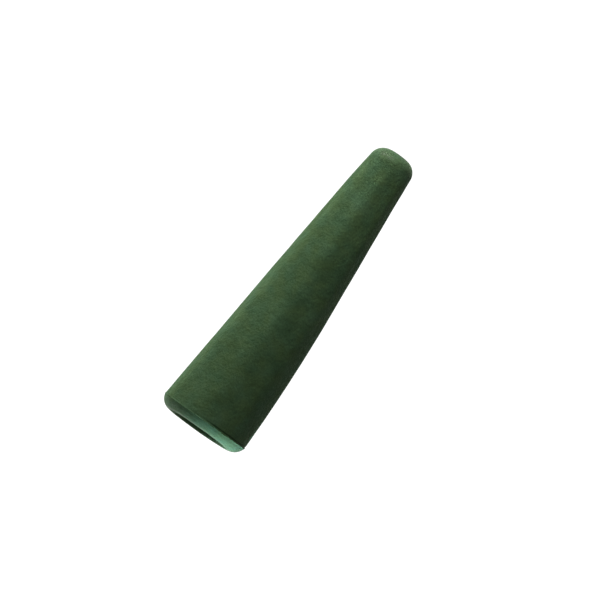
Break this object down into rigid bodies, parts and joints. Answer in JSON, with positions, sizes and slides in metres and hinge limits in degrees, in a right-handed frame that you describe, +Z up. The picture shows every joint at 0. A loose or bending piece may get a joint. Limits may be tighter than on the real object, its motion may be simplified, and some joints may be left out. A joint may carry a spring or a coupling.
{
  "type": "lead clip tail rubber",
  "caption": "Soft tapered rubber sleeve, open from end to end, that pushes over the tail of a fishing lead clip and lets the line out through its rounded nose.",
  "frame": {"origin": "on the sleeve's axis, in the plane of the mouth's foremost edge, on which it stands", "axes": "+Z up along the axis, from the mouth to the nose, the way that the line leaves. The sleeve is round, so it is the same however it is turned about +Z"},
  "size_m": [0.0072, 0.0072, 0.025],
  "materials": {
    "green_rubber": "matt, with a fine moulded grain"
  },
  "bodies": {
    "root": {"tail_rubber": "green_rubber"}
  },
  "joints": []
}
